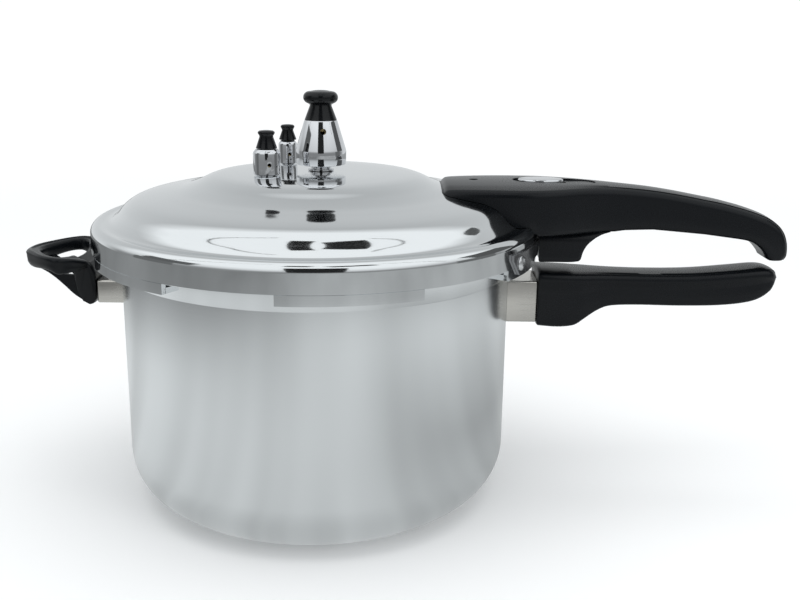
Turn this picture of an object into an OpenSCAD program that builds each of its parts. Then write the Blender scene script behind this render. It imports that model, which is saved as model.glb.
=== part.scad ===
// Pressure canner: an aluminium pot with a twist-lock lid, a weighted vent,
// two spring valves, a pressure lock pin and black moulded handles.
// Z is up, X runs along the long handles, and the origin is the middle of the base.

/* [Pot] */
// Outer radius of the pot wall
pot_r = 120; // [118:0.5:120]
// Thickness of the pot wall
wall = 3; // [2.5:0.1:3.5]
// Height of the pot from the base to the mouth
pot_h = 170; // [168:0.5:170]
// Outer radius of the corner between base and wall
base_fillet = 34; // [25:1:40]
// Height at which the thicker band at the top starts
band_z = 147.4; // [145:0.2:150]
// Radius of the holes in the canning rack
rack_hole_r = 4; // [3:0.5:5]

/* [Closure] */
// Number of lugs on the pot, and of tabs on the lid
lugs = 6; // [6]
// Direction of the first lid tab, from the long handle
tab_at = -78; // [-80:1:-76]
// Angle that a lid tab spans
tab_span = 33; // [30:1:33]
// Angle that a pot lug spans
lug_span = 26; // [20:1:26]

/* [Lid] */
// Outer radius of the lid's skirt
skirt_r = 136.5; // [136.5]
// Height of the bottom of the lid's tabs
tab_z = 154.8; // [154.5:0.1:155.2]
// Height of the top of the lid
lid_z = 205; // [204.5:0.1:205]
// Thickness of the lid
lid_t = 3; // [2.5:0.1:3]

/* [Valves] */
// Distance of the steam vent from the middle of the lid, towards the handle
vent_x = 2.6; // [0:0.1:3]
// Place of the safety valve on the lid
safety_xy = [-27.8, -23];
// Place of the relief valve on the lid
relief_xy = [-21.3, 31];
// Distance of the lock pin from the middle of the lid
pin_x = 97; // [96:0.5:98]

/* [Handles] */
// Half of the width of the grips
grip_half = 13; // [11:0.5:14]
// Half of the width of the lid handle's head over the rim
head_half = 35; // [33:0.5:36]

/* [Hidden] */
$fn = 96;
ALU = [0.80, 0.82, 0.83];
STEEL = [0.62, 0.61, 0.58];
CHROME = [0.85, 0.86, 0.88];
BLACK = [0.06, 0.065, 0.07];
RUBBER = [0.16, 0.16, 0.17];
BRASS = [0.72, 0.58, 0.30];
band_r = pot_r + 1.5;
inner_r = pot_r - wall;
lug_r = band_r + 10;
lug_z0 = 158.6;
lug_z1 = 164;
lip_r = band_r + 2.5;
lip_top = 158;
notch_z = 160.5;
fit = 0.1;         // gap between pieces that are fixed to each other
gap = 0.3;         // gap between pieces that move on each other
bracket_z = [113.5, 139.8];
bracket_y = 16;
side_z = [121.9, 136.3];
side_y = 14;
handle_x = 138;
slider_x = 138.5;
roof_z = 197.2;         // underside of the head's roof
button_z = 199.4;     // floor of the button's recess
rivet_r = 3;
rivet_at = 3.6;
sheet = 1.5;
strap_r = skirt_r + 1.6;
strap_rivet_at = 29.2;
// Outline of the lid's outer face from its middle to the groove by its rim
lid_line = [[0, 205], [36, 204.8], [52, 204.2], [61, 203.3], [67, 201.5], [74, 198.2], [83, 195],
    [92, 193.2], [104, 191], [111, 188.9], [116.5, 185.4], [121, 180.4], [124.6, 177.4], [127.5, 176.6]];

// ---- helpers -------------------------------------------------------------
function arc(cx, cy, r, a0, a1, n) =
    [for (i = [0:n]) let (a = a0 + (a1 - a0) * i / n) [cx + r * cos(a), cy + r * sin(a)]];
function spline_at(p, i, t) =
    let (a = p[max(i - 1, 0)], b = p[i], c = p[i + 1], d = p[min(i + 2, len(p) - 1)])
    0.5 * ((2 * b) + (c - a) * t + (2 * a - 5 * b + 4 * c - d) * t * t
        + (3 * b - a - 3 * c + d) * t * t * t);
// A smooth line through the points p, with n steps between each two
function spline(p, n) =
    [for (i = [0:len(p) - 2], k = [0:n - 1]) spline_at(p, i, k / n), p[len(p) - 1]];
function unit(v) = v / norm(v);
function side_of(p, i) = let (d = unit(p[min(i + 1, len(p) - 1)] - p[max(i - 1, 0)])) [-d[1], d[0]];
// The line p moved sideways by t
function beside(p, t) = [for (i = [0:len(p) - 1]) p[i] + t * side_of(p, i)];
function flip(p) = [for (i = [len(p) - 1:-1:0]) p[i]];
module ring(r0, r1, z0, z1) {
    translate([0, 0, z0]) difference() {
        cylinder(r = r1, h = z1 - z0);
        translate([0, 0, -1]) cylinder(r = r0, h = z1 - z0 + 2);
    }
}
module sector(r0, r1, z0, z1, at, span) {
    rotate([0, 0, at - span / 2]) rotate_extrude(angle = span)
        translate([r0, z0]) square([r1 - r0, z1 - z0]);
}
module along_x(x, y, z, r, l) translate([x, y, z]) rotate([0, 90, 0]) cylinder(r = r, h = l);
// A side outline in X and Z, drawn out to a width of 2 * half
module side_plate(half) rotate([90, 0, 0]) linear_extrude(2 * half, center = true) children();
module hexagon(across, h) cylinder(r = across / sqrt(3), h = h, $fn = 6);

// ---- pot -----------------------------------------------------------------
pot_outline = concat([[0, 0]], arc(pot_r - base_fillet, base_fillet, base_fillet, -90, 0, 12),
    [[pot_r, band_z], [band_r, band_z + 0.8], [band_r, pot_h - 1]],
    arc(band_r - 1, pot_h - 1, 1, 30, 90, 2), [[inner_r, pot_h]],
    arc(pot_r - base_fillet, base_fillet, base_fillet - wall, 0, -90, 12), [[0, wall]]);
module pot_body() color(ALU) difference() {
    union() {
        rotate_extrude($fn = 180) polygon(pot_outline);
        for (i = [0:lugs - 1])
            sector(band_r - 1, lug_r, lug_z0, lug_z1, tab_at + i * 360 / lugs, lug_span);
    }
    for (s = [-1, 1]) {
        rotate([0, 0, s * rivet_at]) along_x(pot_r - 12, 0, 126.6, rivet_r, 30);
        rotate([0, 0, 180 + s * rivet_at]) along_x(pot_r - 12, 0, 129.1, rivet_r, 30);
    }
}
rack_r = 100;
module canning_rack() color(ALU) difference() {
    union() {
        translate([0, 0, 20]) cylinder(r = rack_r, h = 1.5);
        ring(rack_r - 1.5, rack_r, 10, 21);
    }
    for (r = [24, 48, 72], a = [0:360 / (r / 4):359])
        rotate([0, 0, a]) translate([r, 0, 15]) cylinder(r = rack_hole_r, h = 10);
    translate([0, 0, 15]) cylinder(r = 10, h = 10);
}
// A sheet-steel box whose inner end is curved to the pot wall and riveted to it
module wall_bracket(zr, half, out) difference() {
    translate([pot_r - 12, -half, zr[0]]) cube([out - pot_r + 12, 2 * half, zr[1] - zr[0]]);
    translate([0, 0, zr[0] - 1]) cylinder(r = pot_r + fit, h = 60);
    difference() {
        translate([pot_r - 12, sheet - half, zr[0] + sheet])
            cube([out - pot_r + 12 - sheet, 2 * (half - sheet), zr[1] - zr[0] - 2 * sheet]);
        translate([0, 0, zr[0]]) cylinder(r = pot_r + fit + sheet, h = 60);
    }
    for (s = [-1, 1]) rotate([0, 0, s * rivet_at])
        along_x(pot_r - 15, 0, (zr[0] + zr[1]) / 2, rivet_r, 30);
}
module pot_handle_bracket() color(STEEL) difference() {
    wall_bracket(bracket_z, bracket_y, handle_x);
    for (z = [120.6, 132.6]) along_x(handle_x - 5, 0, z, 2.6, 10);
}
// Rivets with flat heads inside the pot and inside the bracket
module wall_rivets(at, z) for (s = [-1, 1]) rotate([0, 0, at + s * rivet_at]) {
    along_x(inner_r - 0.6, 0, z, rivet_r - 0.05, wall + sheet + 1.6);
    along_x(inner_r - 1.8, 0, z, 4.6, 1.6);
    along_x(pot_r + fit + sheet + 0.1, 0, z, 4.6, 1.4);
}
module pot_bracket_rivets() color(CHROME) wall_rivets(0, 126.6);
pot_handle_side = concat([[138, 111.5]], spline([[138, 111.5], [150, 110.6], [158, 110.8], [163, 111.6],
    [169, 116], [176, 120.4], [184, 123.5], [200, 124], [228, 123.8], [253, 124.6], [271, 127],
    [281, 131], [287, 136.4], [289.2, 142.5], [286.6, 147.2], [279, 148.6], [261, 147], [235, 144.8],
    [205, 144.3], [175, 145], [138, 146.2]], 4));
pot_handle_plan = concat([[138, 18.5], [152, 18.3]],
    spline([[152, 18.3], [165, 16.8], [180, 13.8], [200, 12.6], [235, 12.8], [264, 13.4], [279, 12.8],
        [286, 10.2], [289.4, 5], [290, 0]], 4));
module plan(p) polygon(concat(p, [for (q = flip(p)) [q[0], -q[1]]]));
module pot_handle() color(BLACK) difference() {
    intersection() {
        side_plate(30) polygon(pot_handle_side);
        linear_extrude(300) plan(pot_handle_plan);
    }
    for (z = [120.6, 132.6]) along_x(handle_x - 1, 0, z, 2.6, 26);
}
module pot_handle_screws() color(CHROME) for (z = [120.6, 132.6]) {
    along_x(handle_x - 4.7, 0, z, 4.6, 3.1);
    along_x(handle_x - 2, 0, z, 2.5, 25);
}

// ---- helper handle on the far side of the pot ------------------------------
module side_handle_bracket() color(STEEL) rotate([0, 0, 180]) difference() {
    wall_bracket(side_z, side_y, 137);
    along_x(130, 0, 129.1, 2.6, 10);
}
module side_bracket_rivets() color(CHROME) wall_rivets(180, 129.1);
module side_handle_screw() color(CHROME) rotate([0, 0, 180]) {
    along_x(132.3, 0, 129.1, 4.6, 3.1);
    along_x(135, 0, 129.1, 2.5, 12);
}
side_outline = concat([[137, 121.2]], spline([[137, 121.2], [143, 121.6], [147, 125], [150, 134],
    [153, 142], [157, 146], [165, 146.4], [175, 144.6], [181, 144.8], [184.6, 148.6], [184, 152],
    [180, 154.4], [170, 155], [157, 155], [148, 153.4], [141, 149], [137, 144]], 4));
side_plan = concat([[137, 15], [139, 16.5]], spline([[139, 16.5], [143, 24], [148, 32], [153, 35.5],
    [159, 34], [167, 27], [175, 17], [181, 8.5], [184.6, 0]], 4));
side_hole = spline([[148.5, 0], [149, 10], [151, 20], [154, 26], [158, 27], [164, 22], [170, 12.5],
    [173, 5], [173.6, 0]], 4);
side_rib = concat([[145, 122.8]], spline([[148, 124.4], [152, 127.5], [157, 132.5], [163.5, 138.5],
    [170, 142.8], [177, 145.4]], 4), [[177, 149]], spline([[172, 147.4], [167, 144.4], [161, 141],
    [155, 139.6], [145, 139.6]], 4));
rib_y = [10.2, 13.2];
bar_z = 144.4;        // underside of the bars beside the root
module side_handle() color(BLACK) mirror([1, 0, 0]) difference() {
    union() {
        difference() {
            intersection() {
                side_plate(40) polygon(side_outline);
                linear_extrude(300) plan(side_plan);
            }
            translate([0, 0, 100]) linear_extrude(100) plan(side_hole);
            for (y = [17, -47]) translate([130, y, 100]) cube([60, 30, bar_z - 100]);
        }
        for (y = [rib_y[0], -rib_y[1]]) translate([0, y, 0]) rotate([90, 0, 0])
            translate([0, 0, rib_y[0] - rib_y[1]]) linear_extrude(rib_y[1] - rib_y[0]) polygon(side_rib);
    }
    along_x(136, 0, 129.1, 2.6, 12);
}

// ---- lid -----------------------------------------------------------------
lid_top = spline(lid_line, 4);
lid_edge = concat([[129.5, 176.8]], arc(131, 171.6, skirt_r - 131, 82, 0, 8), [[skirt_r, notch_z]]);
lid_under = concat([[skirt_r, tab_z], [lip_r, tab_z], [lip_r, lip_top], [skirt_r - lid_t, lip_top],
    [skirt_r - lid_t, 172], [skirt_r - lid_t - 1.5, 173.5], [126.6, 173.5]],
    flip(beside([for (p = lid_top) if (p[0] > 2 && p[0] < 124) p], -lid_t)));
module lid_solid(lift) translate([0, 0, lift]) rotate_extrude($fn = 180)
    polygon(concat([[0, 140]], lid_top, lid_edge, [[skirt_r, 140]]));
module lid_shell() color(ALU) difference() {
    rotate_extrude($fn = 180) polygon(concat(lid_top, lid_edge, lid_under, [[0, lid_z - lid_t]]));
    // gaps between the tabs, where the pot's lugs pass
    for (i = [0:lugs - 1]) sector(lip_r - 2, skirt_r + 2, tab_z - 1, notch_z,
        tab_at + (i + 0.5) * 360 / lugs, 360 / lugs - tab_span);
    translate([vent_x, 0, 190]) cylinder(r = 5.1, h = 30);
    translate([safety_xy[0], safety_xy[1], 190]) cylinder(r = 5.1, h = 30);
    translate([relief_xy[0], relief_xy[1], 190]) cylinder(r = 4.1, h = 30);
    translate([pin_x, 0, 180]) cylinder(r = 5.1, h = 20);
    for (s = [-1, 1]) rotate([0, 0, s * strap_rivet_at]) along_x(skirt_r - 6, 0, 163, 2.6, 10);
}
module sealing_ring() color(RUBBER) difference() {
    ring(inner_r, 130.5, pot_h + gap, 173.4);
    ring(inner_r + 4, 126.5, pot_h + 1.6, 172.2);
}
module lid_strap() color(STEEL) difference() {
    union() {
        sector(skirt_r + fit, strap_r, 156.5, 169, 0, 2 * strap_rivet_at + 8);
        for (s = [-1, 1]) difference() {
            translate([skirt_r - 2, s * 9 - 5, 162.5]) cube([25, 10, 1.6]);
            translate([0, 0, 150]) cylinder(r = skirt_r + fit + 0.6, h = 30);
        }
    }
    sector(skirt_r - 1, strap_r + 1, 150, 160.5, 0, 2 * strap_rivet_at - 14);
    for (s = [-1, 1]) {
        rotate([0, 0, s * strap_rivet_at]) {
            along_x(skirt_r - 2, 0, 163, 2.6, 10);
            // pointed end
            translate([skirt_r - 4, 0, 0]) rotate([90, 0, 90]) linear_extrude(10)
                polygon([[s * 12, 166], [s * 9.8, 166], [s * 1, 156], [s * 1, 150], [s * 12, 150]]);
        }
        translate([153, s * 9, 150]) cylinder(r = 2.6, h = 30);
    }
}
module lid_strap_rivets() color(CHROME) for (s = [-1, 1]) rotate([0, 0, s * strap_rivet_at]) {
    along_x(skirt_r - lid_t - 0.9, 0, 163, 2.5, 6.6);
    along_x(skirt_r - lid_t - 1.5, 0, 163, 4.2, 1.4);
    translate([strap_r + 0.1, 0, 163]) rotate([0, 90, 0]) cylinder(r1 = 4.2, r2 = 2.8, h = 1.5);
}

// ---- lid handle ------------------------------------------------------------
// Top line of the handle, then the hook at its end and the underside of its grip
handle_side = concat([[76, 150]], spline([[76, 193], [78.5, 198.4], [84, 200.2], [110, 200.8],
    [150, 200.7], [172, 200], [188, 198.8], [206, 197.1], [222, 194.8], [238, 191.9], [254, 188.7],
    [266, 185.4], [279, 180.8], [287, 175.2], [291.6, 168.6], [293.2, 161], [293, 155.4], [290, 153],
    [284, 153.6], [281, 158], [276.6, 162.6], [269, 166.4], [240, 169.6], [208, 172.4], [190, 171.8],
    [180, 168.8], [172, 163]], 4), [[168, 156], [165.5, 154], [140, 154], [140, 150]]);
handle_plan = spline([[76.8, 0], [77.4, 24], [79, 28.4], [84, 31], [100, 33.4], [120, 35.2], [138, 34],
    [152, 28.5], [168, 20.5], [184, 15.5], [206, 13.6], [240, 13.4], [269, 13.8], [283, 13], [290, 10],
    [293, 4.5], [293.4, 0]], 4);
hollow_plan = spline([[82, 0], [82.4, 23], [88, 27.4], [104, 29.8], [120, 31.2], [135, 30], [148, 25],
    [160, 18], [162, 10], [162.4, 0]], 4);
foot_z = 171;
module handle_mass() difference() {
    intersection() {
        side_plate(50) polygon(handle_side);
        translate([0, 0, 140]) linear_extrude(100) plan(handle_plan);
    }
    lid_solid(0.15);
    // outside the rim the cover ends above the foot, and is open below it
    translate([100, -50, 100]) cube([90, 100, foot_z + 0.1 - 100]);
}
module lid_handle() color(BLACK) difference() {
    handle_mass();
    // hollow for the lock, under a roof
    intersection() {
        translate([0, 0, 150]) linear_extrude(roof_z - 150) plan(hollow_plan);
        union() {
            translate([60, -40, 150]) cube([78.5, 80, 60]);
            translate([138, -12, 190]) cube([22.5, 24, 20]);
        }
    }
    // slot for the button's neck and a long shallow recess for the button
    slot(134, 151, 3.3, 190, 20);
    slot(130.5, 163, 9.5, button_z, 10);
    translate([pin_x, 0, 190]) cylinder(r = 2.6, h = 20);
    for (s = [-1, 1]) translate([153, s * 9, 150]) cylinder(r = 2.1, h = 38);
}
// A slot with round ends between two places along X
module slot(x0, x1, r, z, h) {
    for (x = [x0, x1]) translate([x, 0, z]) cylinder(r = r, h = h);
    translate([x0, -r, z]) cube([x1 - x0, 2 * r, h]);
}
module lid_handle_foot() color(BLACK) difference() {
    intersection() {
        side_plate(19) polygon(concat([[130, foot_z], [130, 152.6]], arc(160.5, 156, 3.4, -90, 0, 4),
            spline([[164.6, 159], [168, 164.4], [173.5, 168.6], [180, foot_z]], 3)));
        translate([0, 0, 140]) linear_extrude(60) plan(handle_plan);
    }
    translate([0, 0, 140]) cylinder(r = strap_r + 0.2, h = 50);
    translate([130, -14.2, 162.3]) cube([31, 28.4, 2]);
    for (s = [-1, 1]) translate([153, s * 9, 150]) {
        cylinder(r = 2.6, h = 30);
        cylinder(r = 5, h = 6.6);
    }
}
module lid_handle_screws() color(CHROME) for (s = [-1, 1]) translate([153, s * 9, 0]) {
    translate([0, 0, 153.4]) cylinder(r = 4.4, h = 3.1);
    translate([0, 0, 156]) cylinder(r = 2, h = 30);
}

// ---- steam vent and its weight ---------------------------------------------
module vent_pipe() color(CHROME) translate([vent_x, 0, 0]) difference() {
    union() {
        translate([0, 0, 193]) cylinder(r = 5, h = 13);
        translate([0, 0, lid_z + 0.1]) cylinder(r = 8, h = 1.1);
        translate([0, 0, lid_z + 1]) cylinder(r = 6.4, h = 1.8);
        translate([0, 0, lid_z + 1]) cylinder(r = 3, h = 20);
    }
    translate([0, 0, 190]) cylinder(r = 1.5, h = 40);
}
module nut_on(r, across, z, h) translate([0, 0, z]) difference() {
    hexagon(across, h);
    translate([0, 0, -1]) cylinder(r = r, h = h + 2);
}
module vent_pipe_nut() color(STEEL) translate([vent_x, 0, 0]) nut_on(5.05, 17, 196.4, 4);
module vent_gasket() color(RUBBER) translate([vent_x, 0, 0]) ring(5.05, 8.5, 200.5, lid_z - lid_t - 0.15);
weight_line = [[3.4, 208.8], [14.6, 208.8], [15.3, 209.6], [15.5, 217.4], [10, 235.7], [3.4, 235.7]];
module weight_body() color(CHROME) translate([vent_x, 0, 0]) difference() {
    rotate_extrude() polygon(weight_line);
    translate([0, 0, 229.6]) rotate([90, 0, 12]) cylinder(r = 1.75, h = 20);
}
module weight_needle() color(BRASS) translate([vent_x, 0, 0]) rotate_extrude()
    polygon([[0, 226.5], [1.2, 228.2], [3.3, 229], [3.3, 238], [0, 238]]);
knob_line = concat([[3.4, 235.8], [9.85, 235.8], [6.6, 244.8]], arc(7, 249.3, 3.6, -90, 90, 10),
    spline([[7, 252.9], [3.5, 253.5], [0, 253.7]], 3), [[0, 238.2], [3.4, 238.2]]);
module weight_knob() color(BLACK) translate([vent_x, 0, 0]) rotate_extrude() polygon(knob_line);

// ---- the two spring valves ---------------------------------------------------
// A seat that screws down through the lid, with a hollow body above it
module valve_body(xy, r, stub, top) translate([xy[0], xy[1], 0]) difference() {
    union() {
        translate([0, 0, 195]) cylinder(r = stub, h = 12);
        rotate_extrude() polygon([[0, lid_z + 0.2], [r - 0.6, lid_z + 0.2], [r, lid_z + 0.8],
            [r, top - 2], [r - 1.6, top], [0, top]]);
    }
    translate([0, 0, 190]) cylinder(r = 1.5, h = 40);
    translate([0, 0, 208]) cylinder(r = r - 1.6, h = top - 1.6 - 208);
    translate([0, 0, 211.5]) rotate([90, 0, 18]) cylinder(r = 1.2, h = 20);
}
// A lift-up cap, which is a cone with a brim
module valve_cap(xy, r, z0, z1) translate([xy[0], xy[1], 0]) rotate_extrude()
    polygon([[0.85, z0], [r, z0], [r * 0.62, z1 - 3.6], [r * 0.78, z1 - 2], [r * 0.8, z1 - 1.2],
        [r * 0.6, z1 - 0.1], [0, z1], [0, z1 - 4], [0.85, z1 - 4]]);
// A plunger that the spring holds down on the seat, with a thin stem up into the cap
module valve_stem(xy, r, z1) translate([xy[0], xy[1], 0]) rotate_extrude()
    polygon([[0, 208.3], [r, 208.3], [r, 210.8], [0.8, 210.8], [0.8, z1 - 4.05], [0, z1 - 4.05]]);
module valve_spring(xy, r, z0, z1) translate([xy[0], xy[1], 0]) ring(r - 0.9, r, z0, z1);
module safety_valve_body() color(CHROME) valve_body(safety_xy, 8.1, 5, 220.4);
module safety_valve_nut() color(STEEL) translate([safety_xy[0], safety_xy[1], 0]) nut_on(5.05, 14, 197, 4.5);
module safety_valve_cap() color(BLACK) valve_cap(safety_xy, 6.3, 220.8, 231.3);
module safety_valve_stem() color(BRASS) valve_stem(safety_xy, 5.6, 231.3);
module safety_valve_spring() color(STEEL) valve_spring(safety_xy, 3.6, 210.9, 218.7);
module relief_valve_body() color(CHROME) valve_body(relief_xy, 6, 4, 220);
module relief_valve_nut() color(STEEL) translate([relief_xy[0], relief_xy[1], 0]) nut_on(4.05, 11, 197, 4.5);
module relief_valve_cap() color(BLACK) valve_cap(relief_xy, 5.6, 220.4, 230);
module relief_valve_stem() color(BRASS) valve_stem(relief_xy, 3.8, 230);
module relief_valve_spring() color(STEEL) valve_spring(relief_xy, 2.6, 210.9, 218.3);

// ---- pressure lock under the handle's head -----------------------------------
module lock_pin_bush() color(BRASS) translate([pin_x, 0, 0]) difference() {
    union() {
        translate([0, 0, 182]) cylinder(r = 5, h = 12.2);
        translate([0, 0, 193.9]) cylinder(r = 6.5, h = 1.4);
    }
    translate([0, 0, 180]) cylinder(r = 2.55, h = 20);
}
module lock_pin_nut() color(STEEL) translate([pin_x, 0, 0]) nut_on(5.05, 13, 184.5, 3.2);
module lock_pin() color(STEEL) translate([pin_x, 0, 0]) {
    translate([0, 0, 176]) cylinder(r = 2.3, h = 20);
    translate([0, 0, 174]) cylinder(r = 5, h = 2.2);
}
module lock_pin_seal() color(RUBBER) translate([pin_x, 0, 0]) ring(2.35, 4.2, 176.25, 177.6);
module slider_button() color(CHROME) difference() {
    union() {
        intersection() {
            translate([slider_x, 0, button_z + gap]) cylinder(r = 14, h = 2.1);
            translate([120, -8.6, 198]) cube([40, 17.2, 10]);
        }
        slot(slider_x - 3, slider_x + 3, 2.9, 196.3, 3.8);
    }
    translate([slider_x, 0, 195.4]) cylinder(r = 1.6, h = 3.6);
}
module slider_bolt() color(STEEL) difference() {
    union() {
        translate([104, -9, 194.4]) cube([42, 18, 1.8]);
        translate([104, -9, 191.8]) cube([1.6, 18, 3.2]);
    }
    translate([slider_x, 0, 190]) cylinder(r = 1.6, h = 20);
}
module slider_screw() color(CHROME) translate([slider_x, 0, 0]) {
    translate([0, 0, 192.4]) cylinder(r = 3, h = 1.9);
    translate([0, 0, 193.4]) cylinder(r = 1.5, h = 5.4);
}
module slider_spring() color(STEEL) translate([146.3, 0, 193.8]) rotate([0, 90, 0]) ring(1.6, 2.4, 0, 14);

pot_body();
canning_rack();
pot_handle_bracket();
pot_bracket_rivets();
pot_handle();
pot_handle_screws();
side_handle_bracket();
side_bracket_rivets();
side_handle();
side_handle_screw();
lid_shell();
sealing_ring();
lid_strap();
lid_strap_rivets();
lid_handle();
lid_handle_foot();
lid_handle_screws();
vent_pipe();
vent_pipe_nut();
vent_gasket();
safety_valve_body();
safety_valve_nut();
safety_valve_cap();
safety_valve_stem();
safety_valve_spring();
relief_valve_body();
relief_valve_nut();
relief_valve_cap();
relief_valve_stem();
relief_valve_spring();
lock_pin_bush();
lock_pin_nut();
lock_pin();
lock_pin_seal();
weight_body();
weight_knob();
weight_needle();
slider_button();
slider_bolt();
slider_screw();
slider_spring();
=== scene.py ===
import math

import bmesh
import bpy
from mathutils import Matrix, Vector


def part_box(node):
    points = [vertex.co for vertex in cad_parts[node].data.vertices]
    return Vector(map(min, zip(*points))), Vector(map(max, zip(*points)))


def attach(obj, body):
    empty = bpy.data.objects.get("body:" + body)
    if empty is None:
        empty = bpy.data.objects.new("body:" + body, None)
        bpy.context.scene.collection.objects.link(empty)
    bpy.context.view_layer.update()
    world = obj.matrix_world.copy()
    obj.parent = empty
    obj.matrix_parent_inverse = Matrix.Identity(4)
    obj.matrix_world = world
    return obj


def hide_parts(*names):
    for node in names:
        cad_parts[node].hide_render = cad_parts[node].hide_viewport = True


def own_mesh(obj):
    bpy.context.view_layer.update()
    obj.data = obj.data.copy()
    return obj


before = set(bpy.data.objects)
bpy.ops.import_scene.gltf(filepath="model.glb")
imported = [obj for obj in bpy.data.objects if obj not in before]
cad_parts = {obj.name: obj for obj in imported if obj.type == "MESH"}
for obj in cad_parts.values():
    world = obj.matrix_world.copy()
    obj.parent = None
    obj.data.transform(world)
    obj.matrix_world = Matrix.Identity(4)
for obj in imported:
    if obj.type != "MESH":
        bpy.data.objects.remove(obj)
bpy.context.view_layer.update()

# ---- The camera, the light and the floor --------------------------------------
# A pressure canner stands on a pale floor in a white tent. Soft lights hang round it, and a few dark
# cards give its polished metal something to reflect. The camera looks slightly down from the front.
camera_place = (0.0524, -0.61785, 0.28884)
camera_pitch = math.radians(90 - 15.07)
camera_roll = math.radians(0.7485)
camera_data = bpy.data.cameras.new("camera")
camera_data.lens = 44.985
camera_data.sensor_width = 36
camera_data.clip_start = 0.01
camera = bpy.data.objects.new("camera", camera_data)
camera.matrix_world = (Matrix.Translation(camera_place) @ Matrix.Rotation(camera_pitch, 4, "X")
                       @ Matrix.Rotation(camera_roll, 4, "Z"))
bpy.context.scene.collection.objects.link(camera)
bpy.context.scene.camera = camera
bpy.context.scene.view_settings.view_transform = "Standard"


class Value:
    """A number that varies over a surface. Arithmetic on it adds Math nodes."""

    def __init__(self, paint, socket):
        self.paint, self.socket = paint, socket

    def _join(self, operation, *others):
        node = self.paint.add("ShaderNodeMath", {"operation": operation},
                              {i: other for i, other in enumerate((self,) + others)})
        return Value(self.paint, node.outputs[0])

    def __add__(self, other): return self._join("ADD", other)
    def __radd__(self, other): return self._join("ADD", other)
    def __mul__(self, other): return self._join("MULTIPLY", other)
    def __rmul__(self, other): return self._join("MULTIPLY", other)
    def __sub__(self, other): return self._join("SUBTRACT", other)
    def __pow__(self, other): return self._join("POWER", other)

    def __rsub__(self, other):
        return (self * -1.0) + other

    def clamp(self):
        return self._join("MAXIMUM", 0.0)._join("MINIMUM", 1.0)


class Nodes:
    """A tree of shader nodes. Its nodes come from add(), and plug() sets or links one socket."""

    def __init__(self, tree):
        self.tree = tree

    def plug(self, socket, value):
        if isinstance(value, Value):
            value = value.socket
        if isinstance(value, bpy.types.NodeSocket):
            self.tree.links.new(value, socket)
        else:
            socket.default_value = value

    def add(self, kind, settings, inputs):
        node = self.tree.nodes.new(kind)
        for name, value in settings.items():
            if name == "stops":
                self.lay_stops(node.color_ramp, value)
            else:
                setattr(node, name, value)
        for name, value in inputs.items():
            self.plug(node.inputs[name], value)
        return node

    def lay_stops(self, colours, stops):
        while len(colours.elements) < len(stops):
            colours.elements.new(0.5)
        for element, (place, shade) in zip(colours.elements, stops):
            element.position, element.color = place, (shade, shade, shade, 1)

    def ramp(self, value, stops):
        """A grey along the value, from stops that are (place, shade)."""
        node = self.add("ShaderNodeValToRGB", {"stops": stops}, {"Fac": value})
        return Value(self, node.outputs["Color"])

    def split(self, vector):
        node = self.add("ShaderNodeSeparateXYZ", {}, {0: vector})
        return [Value(self, out) for out in node.outputs]

    def vector(self, x, y, z):
        return self.add("ShaderNodeCombineXYZ", {}, {0: x, 1: y, 2: z}).outputs[0]

    def noise(self, vector, scale, detail=3.0):
        node = self.add("ShaderNodeTexNoise", {}, {"Vector": vector, "Scale": scale, "Detail": detail,
                                                   "Roughness": 0.55})
        return Value(self, node.outputs["Fac"])

    def mix(self, factor, first, second):
        node = self.add("ShaderNodeMix", {"data_type": "RGBA"}, {"Factor": factor})
        self.plug(node.inputs[6], first)
        self.plug(node.inputs[7], second)
        return node.outputs[2]


class Paint(Nodes):
    """One material. Its pattern reads the place on the object, and set() fills its shader's sockets."""

    def __init__(self, name):
        self.material = bpy.data.materials.new(name)
        self.material.use_nodes = True
        super().__init__(self.material.node_tree)
        self.shader = self.tree.nodes["Principled BSDF"]

    def set(self, **sockets):
        for name, value in sockets.items():
            self.plug(self.shader.inputs[name.replace("_", " ")], value)

    def place(self):
        return self.add("ShaderNodeTexCoord", {}, {}).outputs["Object"]

    def parts(self):
        return self.split(self.place())

    def bump(self, height, distance):
        node = self.add("ShaderNodeBump", {}, {"Height": height, "Distance": distance, "Strength": 1.0})
        self.set(Normal=node.outputs[0])


def plain_mesh(name, bm):
    mesh = bpy.data.meshes.new(name)
    bm.to_mesh(mesh)
    bm.free()
    thing = bpy.data.objects.new(name, mesh)
    bpy.context.scene.collection.objects.link(thing)
    return thing


def glow(name, strength_of):
    """A paint that only glows. strength_of gives its strength from the place's x, y and z."""
    paint = Paint(name)
    paint.set(Base_Color=(0, 0, 0, 1), Specular_IOR_Level=0.0, Roughness=1.0, Emission_Strength=1.0)
    strength = strength_of(paint, *paint.parts())
    cool = {0: strength * 0.955, 1: strength * 0.99, 2: strength}
    paint.set(Emission_Color=paint.add("ShaderNodeCombineColor", {}, cool).outputs[0])
    return paint


def hidden_from(thing, camera=False, gloss=False):
    """Keeps a stage piece out of the picture, or out of the reflections."""
    thing.visible_camera = not camera
    thing.visible_glossy = not gloss


def disc(name, radius, z, paint):
    bm = bmesh.new()
    bmesh.ops.create_circle(bm, cap_ends=True, segments=96, radius=radius)
    bmesh.ops.translate(bm, vec=(0, 0, z), verts=bm.verts)
    thing = plain_mesh(name, bm)
    thing.data.materials.append(paint.material)
    return thing


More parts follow.
